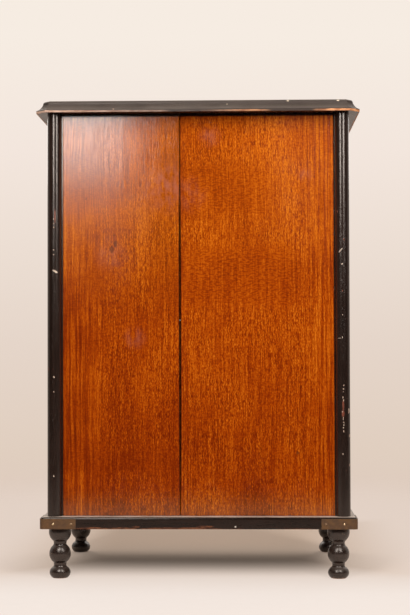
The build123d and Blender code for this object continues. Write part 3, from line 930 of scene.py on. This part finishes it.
ebonised_columns = ebonised(
    "ebonised_columns", column_wear, "XZY", shine=0.78, brown=0.08, least=0.17, most=0.24,
    dust_amount=0.05, dust_steepest=0.35,
)
dress(ebonised_columns, *["column_" + corner for corner in corners])

# %% [markdown]
# The base board carries everything. Its upper ledge is dusty, its lower edge is rubbed brown along the back,
# and one white chip shows the ground below the black.

# %% Base board
base_low, base_high = in_mm(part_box("base_board"))
white_chip = (-37.0, 112.3, 53.1)
base_chips = [
    (white_chip, (0.9, 2.0, 1.0)),
    ((-7.0, 112.3, 53.2), (9.0, 2.0, 1.1)),
    ((62.0, 112.3, 53.0), (4.0, 2.0, 0.8)),
]


def base_wear(r, place):
    """Wear that creeps up from the lower edge, reddish brown, and a few chips, one of them white."""
    x, y, z = r.parts(place)
    inside = r.lowest(r.less(base_high[0], r.far(x)), r.less(base_high[1], r.far(y)))
    distance = r.total(r.less(z, base_low[2]), r.highest(inside, 0.0))
    amount = r.line(r.rise(x, -70.0, 20.0), 0.30, 0.28)
    lower_edge = worn_edge(r, place, distance, reach=2.6, amount=amount, patch_size=24.0)
    bare = r.highest(r.product(lower_edge, 0.75), r.product(chips(r, place, base_chips), 0.7))
    mottled = r.rise(r.noise(place, (0.2, 0.2, 0.5), detail=3.0), 0.35, 0.65)
    brown = r.mix(mottled, tint(72, 36, 22), tint(136, 82, 52))
    white = chips(r, place, [(white_chip, (1.0, 2.0, 1.1))])
    return bare, r.mix(white, brown, tint(232, 222, 210))


ebonised_base = ebonised(
    "ebonised_base", base_wear, "YXZ", shine=0.35, brown=0.06, least=0.14, most=0.22,
    dust_amount=1.15, dust_steepest=0.93,
)
dress(ebonised_base, "base_board")

# %% [markdown]
# The feet are turned from one piece each: a bun, a ball and a cup. Their black is duller than the columns',
# rubbed by floors and dusters, with a little bare wood at the very bottom.

# %% Feet
def foot_wear(r, place):
    """Wear at the sole and chance knocks. The bare wood's tone changes slowly along a foot."""
    sole = worn_edge(r, place, r.parts(place)[2], reach=1.6, amount=0.42, patch_size=9.0)
    knocks = r.rise(r.noise(place, 0.45), 0.74, 0.78)
    dry = r.ramp(
        r.noise(place, (0.02, 0.02, 0.05)),
        (0.3, tint(138, 74, 40)),
        (0.5, tint(190, 142, 108)),
        (0.7, tint(206, 172, 146)),
    )
    return r.highest(sole, r.product(knocks, 0.8)), dry


ebonised_feet = ebonised(
    "ebonised_feet", foot_wear, "XZY", shine=0.80, brown=0.14, least=0.25, most=0.34,
    dust_amount=0.12, dust_steepest=0.35,
)
dress(ebonised_feet, *["foot_" + corner for corner in corners])

# %% [markdown]
# The corner straps are thin brass, browned by age, and the heads of their pins are rubbed bright. Patina is a
# dull brown film: where it is thick the metal neither shines nor looks like metal. The group gives the film's
# colour, metal and roughness from how much of it there is.

# %% Brass patina
brass_patina, r, given, result = new_group(
    "brass_patina",
    {"Place": "Vector", "Cover": 0.5, "Bright Metal": "Color", "Brown Film": "Color"},
    {"Color": "Color", "Metal": "Float", "Roughness": "Float", "Height": "Float"},
)
blotches = r.noise(given["Place"], 0.16, detail=4.0, roughness=0.6)
specks = r.noise(given["Place"], 1.3)
thickness = r.total(given["Cover"], r.product(blotches, 0.9), r.product(specks, 0.3), -0.6)
film = r.rise(thickness, 0.1, 0.9)
r.fill(result["Color"], r.mix(film, given["Bright Metal"], given["Brown Film"]))
r.fill(result["Metal"], r.line(film, -0.55, 1.0))
r.fill(result["Roughness"], r.line(film, 0.26, 0.26))
r.fill(result["Height"], r.weigh((blotches, 0.5), (specks, 0.5)))


def old_brass(name, cover, bright, brown):
    """Brass with a film of patina. cover is a function of the recipe and the place in mm."""
    finish, r, shader, place = new_finish(name)
    patina = r.use(brass_patina, Place=place, Cover=cover(r, place), Bright_Metal=bright, Brown_Film=brown)
    lay_on(r, shader, patina["Color"], patina["Roughness"], patina["Height"], depth=0.05)
    r.fill(shader["Metallic"], patina["Metal"])
    return finish


# %% [markdown]
# The straps have kept most of their film, and the knobs, which are handled every day, have kept little. The
# pins further from a corner were touched less than the others and are browner.

# %% Straps, pins and knobs
drawer_names = ["drawer_%d" % count for count in range(1, 7)]


def pin_cover(r, place):
    """Little film on the pins near a corner and much on those further in."""
    return r.line(r.rise(r.far(r.parts(place)[0]), 136.0, 134.0), 0.62, 0.12)


strap_brass = old_brass("strap_brass", lambda r, place: 0.66, tint(150, 112, 74), tint(92, 68, 50))
pin_brass = old_brass("pin_brass", pin_cover, tint(222, 196, 156), tint(128, 98, 72))
knob_brass = old_brass("knob_brass", lambda r, place: 0.30, tint(214, 170, 96), tint(112, 80, 44))
dress(strap_brass, "corner_straps")
dress(pin_brass, "strap_pins")
dress(knob_brass, *[name + "_knobs" for name in drawer_names])

# %% [markdown]
# Marquetry faces the drawers and the sides. The photograph doesn't show it, so a plain old trade pattern is
# used: lozenges of two woods with a fine black line round each, a pale string and a crossbanded border. The
# group works in two numbers, across and up from the middle of a panel, and finds each lozenge by counting
# along its two diagonals.

# %% Lozenge parquetry
parquetry, r, given, result = new_group(
    "lozenge_parquetry",
    {
        "Across": 0.0, "Up": 0.0, "Layer": 0.0, "Half Width": 100.0, "Half Height": 30.0, "Border": 8.0,
        "Tile Width": 16.0, "Tile Height": 22.0,
    },
    {"Color": "Color", "Height": "Float", "Edge": "Float"},
)
across, up, layer = given["Across"], given["Up"], given["Layer"]
tiles_across = r.math("DIVIDE", across, given["Tile Width"])
tiles_up = r.math("DIVIDE", up, given["Tile Height"])
first = r.total(tiles_across, tiles_up)
second = r.less(tiles_across, tiles_up)
first_count = r.math("FLOOR", first)
second_count = r.math("FLOOR", second)
odd = r.math("FLOORED_MODULO", r.total(first_count, second_count), 2.0)
tile = r.join(first_count, second_count, layer)
chance = r.add("ShaderNodeTexWhiteNoise", {"Vector": tile}).outputs["Value"]
gap = r.lowest(r.math("PINGPONG", first, 0.5), r.math("PINGPONG", second, 0.5))
joint = r.rise(r.product(gap, given["Tile Width"]), 0.42, 0.18)
centre_dot = r.math("GREATER_THAN", gap, 0.36)

# %% [markdown]
# Two woods fill the lozenges, one with its grain upright and one with its grain level, each cut from another
# place of its plank. The border's grain runs across its length, and a pale string between two black lines
# parts it from the field.

# %% Woods of the parquetry
holly = tint(216, 190, 146)
string_wood = tint(218, 190, 142)
light_border = tint(112, 50, 34)
dark_border = tint(56, 22, 18)
black_line = tint(26, 20, 17)
black_joint = tint(28, 20, 16)
aged_tile = tint(96, 52, 24)
plank_step = 90.0

moved = r.product(chance, plank_step)
upright_place = r.join(r.total(across, moved), up, layer)
level_place = r.join(r.total(up, moved), across, layer)
satinwood = cut_wood(r, upright_place, tint(222, 178, 104), tint(176, 122, 58), band_width=3.0)
walnut = cut_wood(r, level_place, tint(134, 78, 42), tint(74, 38, 20), band_width=3.0)
rail_band = cut_wood(r, upright_place, light_border, dark_border, band_width=4.0)
end_band = cut_wood(r, level_place, light_border, dark_border, band_width=4.0)
from_end = r.less(given["Half Width"], r.far(across))
from_rail = r.less(given["Half Height"], r.far(up))
edge = r.lowest(from_end, from_rail)
field = r.mix(odd, satinwood["Color"], walnut["Color"])
field = r.mix(r.product(odd, centre_dot), field, holly)
field = r.mix(r.product(chance, 0.30), field, aged_tile)
field = r.mix(joint, field, black_joint)
border = r.mix(r.math("LESS_THAN", from_rail, from_end), end_band["Color"], rail_band["Color"])
string = r.less(edge, given["Border"])
in_field = r.rise(string, 1.75, 1.85)
in_string = r.product(r.rise(string, -0.10, 0.0), r.rise(string, 1.85, 1.75))
pale_string = r.product(r.rise(string, 0.20, 0.30), r.rise(string, 1.60, 1.50))
colour = r.mix(in_field, border, field)
colour = r.mix(in_string, colour, black_line)
lines = r.highest(r.product(joint, in_field), r.product(in_string, r.less(1.0, pale_string)))
r.fill(result["Color"], r.mix(pale_string, colour, string_wood))
r.fill(result["Height"], r.product(lines, -1.0))
r.fill(result["Edge"], edge)
print("parquetry:", len(parquetry.nodes), "nodes")

# %% [markdown]
# The pattern is on the face of a panel only. Behind the veneer lies plain wood, which shows at the ends of a
# drawer front beside the dovetails when the drawer is out. A thin coat of polish covers the face.

# %% Veneered finish
def veneered(name, pattern_place, sizes, core_order, on_face):
    """Polished marquetry over a core of plain wood. on_face is 1 on the face and 0 behind the veneer."""
    finish, r, shader, place = new_finish(name, Specular_IOR_Level=0.5, Coat_Roughness=0.18)
    across, up, layer = pattern_place(r, place)
    face = on_face(r, place)
    work = r.use(parquetry, Across=across, Up=up, Layer=layer, **sizes)
    core = cut_wood(r, r.turn(place, core_order), tint(160, 104, 62), tint(112, 64, 36), band_width=5.0)
    worn = worn_edge(r, place, work["Edge"], reach=1.2, amount=0.45, patch_size=18.0)
    colour = r.mix(r.product(r.noise(place, 0.02), 0.25), work["Color"], tint(92, 48, 22))
    colour = r.mix(r.product(worn, 0.55), colour, tint(178, 132, 88))
    polish = r.use(rubbed_polish, Place=place, Least=0.26, Most=0.40)
    lines = r.product(work["Height"], face, 0.06)
    lay_on(
        r,
        shader,
        r.mix(face, core["Color"], colour),
        r.total(polish["Roughness"], r.product(r.less(1.0, face), 0.25)),
        r.total(lines, r.product(core["Height"], 0.04), r.product(polish["Height"], 0.02)),
    )
    r.fill(shader["Coat Weight"], r.product(face, 0.4))
    return finish


string_width = 1.8


def pattern_sizes(half_width, half_height, border, tiles_wide, tiles_high):
    """The sizes of a panel's pattern. The lozenges fill the field inside the border and the string."""
    edge = border + string_width
    return {
        "Half_Width": half_width,
        "Half_Height": half_height,
        "Border": border,
        "Tile_Width": 2 * (half_width - edge) / tiles_wide,
        "Tile_Height": 2 * (half_height - edge) / tiles_high,
    }


print("string between border and field:", string_width, "mm")

# %% [markdown]
# The six drawer fronts repeat at the spacing of the drawers, so the height on a front is the remainder of
# the height on the cabinet.

# %% Veneered drawer fronts
front_low, front_high = in_mm(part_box("drawer_6_front"))
upper_low, _ = in_mm(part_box("drawer_5_front"))
level_step = upper_low[2] - front_low[2]
front_half_height = (front_high[2] - front_low[2]) / 2
front_middle = front_low[2] + front_half_height
front_veneer = 1.1
behind_veneer = front_low[1] + front_veneer


def front_place(r, place):
    """Across is x. Up is the height above the middle of the nearest front, and layer counts the fronts."""
    x, _, z = r.parts(place)
    raised = r.less(z, front_middle - level_step / 2)
    layer = r.math("FLOOR", r.math("DIVIDE", raised, level_step))
    up = r.less(r.math("FLOORED_MODULO", raised, level_step), level_step / 2)
    return x, up, layer


front_sizes = pattern_sizes(front_high[0], front_half_height, border=7.5, tiles_wide=16, tiles_high=2)
veneered_front = veneered(
    "veneered_front",
    front_place,
    front_sizes,
    "ZXY",
    lambda r, place: r.rise(r.parts(place)[1], behind_veneer + 0.1, behind_veneer),
)
dress(veneered_front, *[name + "_front" for name in drawer_names])
print("lozenges of", round(front_sizes["Tile_Width"], 1), "by", round(front_sizes["Tile_Height"], 1), "mm")

# %% [markdown]
# The side panels carry the same pattern in larger lozenges, twelve high and eight wide, inside a wider band.
# What shows of a panel lies between its two columns.

# %% Veneered side panels
side_low, side_high = in_mm(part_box("side_panel_left"))
column_low, _ = in_mm(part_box("column_back_left"))
side_face = max(abs(side_low[0]), abs(side_high[0]))
side_middle = (side_low[2] + side_high[2]) / 2
side_half_height = (side_high[2] - side_low[2]) / 2
side_half_width = column_low[1]
side_veneer = 1.2
inside_veneer = side_face - side_veneer


def side_place(r, place):
    """Across is y, up is the height above the panel's middle, and the two sides are two layers."""
    x, y, z = r.parts(place)
    return y, r.less(z, side_middle), r.math("SIGN", x)


veneered_side = veneered(
    "veneered_side",
    side_place,
    pattern_sizes(side_half_width, side_half_height, border=12.0, tiles_wide=8, tiles_high=12),
    "YZX",
    lambda r, place: r.rise(r.far(r.parts(place)[0]), inside_veneer - 0.1, inside_veneer),
)
dress(veneered_side, "side_panel_left", "side_panel_right")
print("side field half width:", round(side_half_width, 1), "mm")

# %% [markdown]
# The partitions and the drawer boxes are plain wood, waxed and not polished. The front edges of the
# partitions are stained black to match the columns. Drawer bottoms and backs have their grain across the
# cabinet, and drawer sides have it front to back, as a joiner would cut them.

# %% Plain woods inside
handled_colour = tint(92, 58, 34)


def plain_wood(name, order, light, dark, band_width, black_front=None):
    """Waxed wood. order puts the axis of the grain second, and black_front is how far back the stain goes."""
    finish, r, shader, place = new_finish(name, Specular_IOR_Level=0.35)
    wood = cut_wood(r, r.turn(place, order), light, dark, band_width)
    handled = r.rise(r.noise(place, (0.015, 0.015, 0.03), detail=3.0), 0.45, 0.75)
    colour = r.mix(r.product(handled, 0.35), wood["Color"], handled_colour)
    if black_front is not None:
        stained = r.rise(r.parts(place)[1], black_front + 1.0, black_front)
        colour = r.mix(stained, colour, black_stain)
    polish = r.use(rubbed_polish, Place=place, Least=0.48, Most=0.64)
    height = r.weigh((wood["Height"], 0.10), (polish["Height"], 0.02))
    lay_on(r, shader, colour, polish["Roughness"], height)
    return finish


box_light = tint(206, 164, 112)
box_dark = tint(158, 112, 66)
partition_low, _ = in_mm(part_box("partition_1"))
stain_depth = 2.0
black_edge = partition_low[1] + stain_depth
partitions = ["partition_%d" % count for count in range(1, 6)]
drawer_sides = [name + "_side_" + hand for name in drawer_names for hand in ("left", "right")]
drawer_backs = [name + "_back" for name in drawer_names]
drawer_bottoms = [name + "_bottom" for name in drawer_names]
plain_woods = [
    (partitions, "partition_wood", "YXZ", tint(172, 124, 78), tint(122, 78, 44), 6.0, black_edge),
    (["drawer_stops"], "stop_wood", "XYZ", tint(190, 146, 98), tint(140, 96, 58), 5.0),
    (drawer_sides, "drawer_side_wood", "ZYX", box_light, box_dark, 6.0),
    (drawer_backs, "drawer_back_wood", "ZXY", box_light, box_dark, 6.0),
    (drawer_bottoms, "drawer_bottom_wood", "YXZ", tint(198, 152, 100), tint(150, 104, 62), 8.0),
]
for pieces, *values in plain_woods:
    dress(plain_wood(*values), *pieces)

# %% [markdown]
